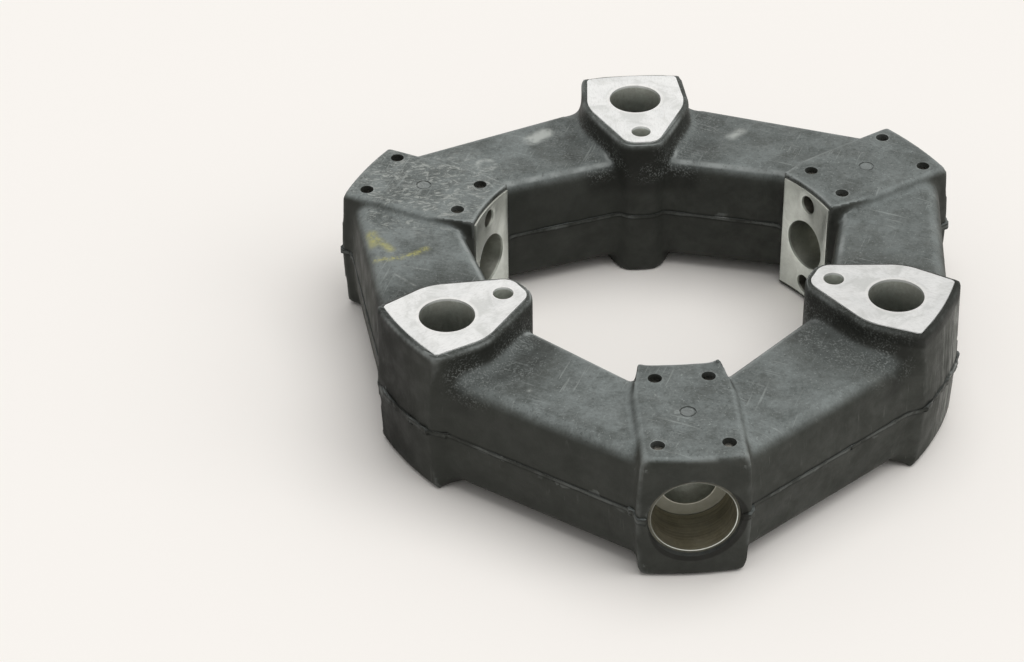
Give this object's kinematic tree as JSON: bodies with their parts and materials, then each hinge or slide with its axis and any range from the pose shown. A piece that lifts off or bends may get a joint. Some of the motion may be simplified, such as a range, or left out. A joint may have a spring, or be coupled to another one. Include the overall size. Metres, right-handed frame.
{
  "type": "flexible coupling",
  "caption": "Flexible shaft coupling: a moulded rubber ring of straight legs that ties axial and radial aluminium inserts, bored for screws, round an open hub space.",
  "frame": {"origin": "on the coupling's axis, in the plane of the bare axial faces", "axes": "+Z along the coupling's axis, out of the bare axial faces; +Y towards the first axial insert"},
  "size_m": [0.1586, 0.1608, 0.04],
  "materials": {
    "rubber": "matte, moulded, with a grey bloom",
    "axial_aluminium": "machined satin",
    "radial_aluminium": "machined satin, slightly dulled"
  },
  "bodies": {
    "root": {"rubber_ring": "rubber", "axial_insert_1": "axial_aluminium", "axial_insert_2": "axial_aluminium", "axial_insert_3": "axial_aluminium", "radial_insert_1": "radial_aluminium", "radial_insert_2": "radial_aluminium", "radial_insert_3": "radial_aluminium"}
  },
  "joints": []
}
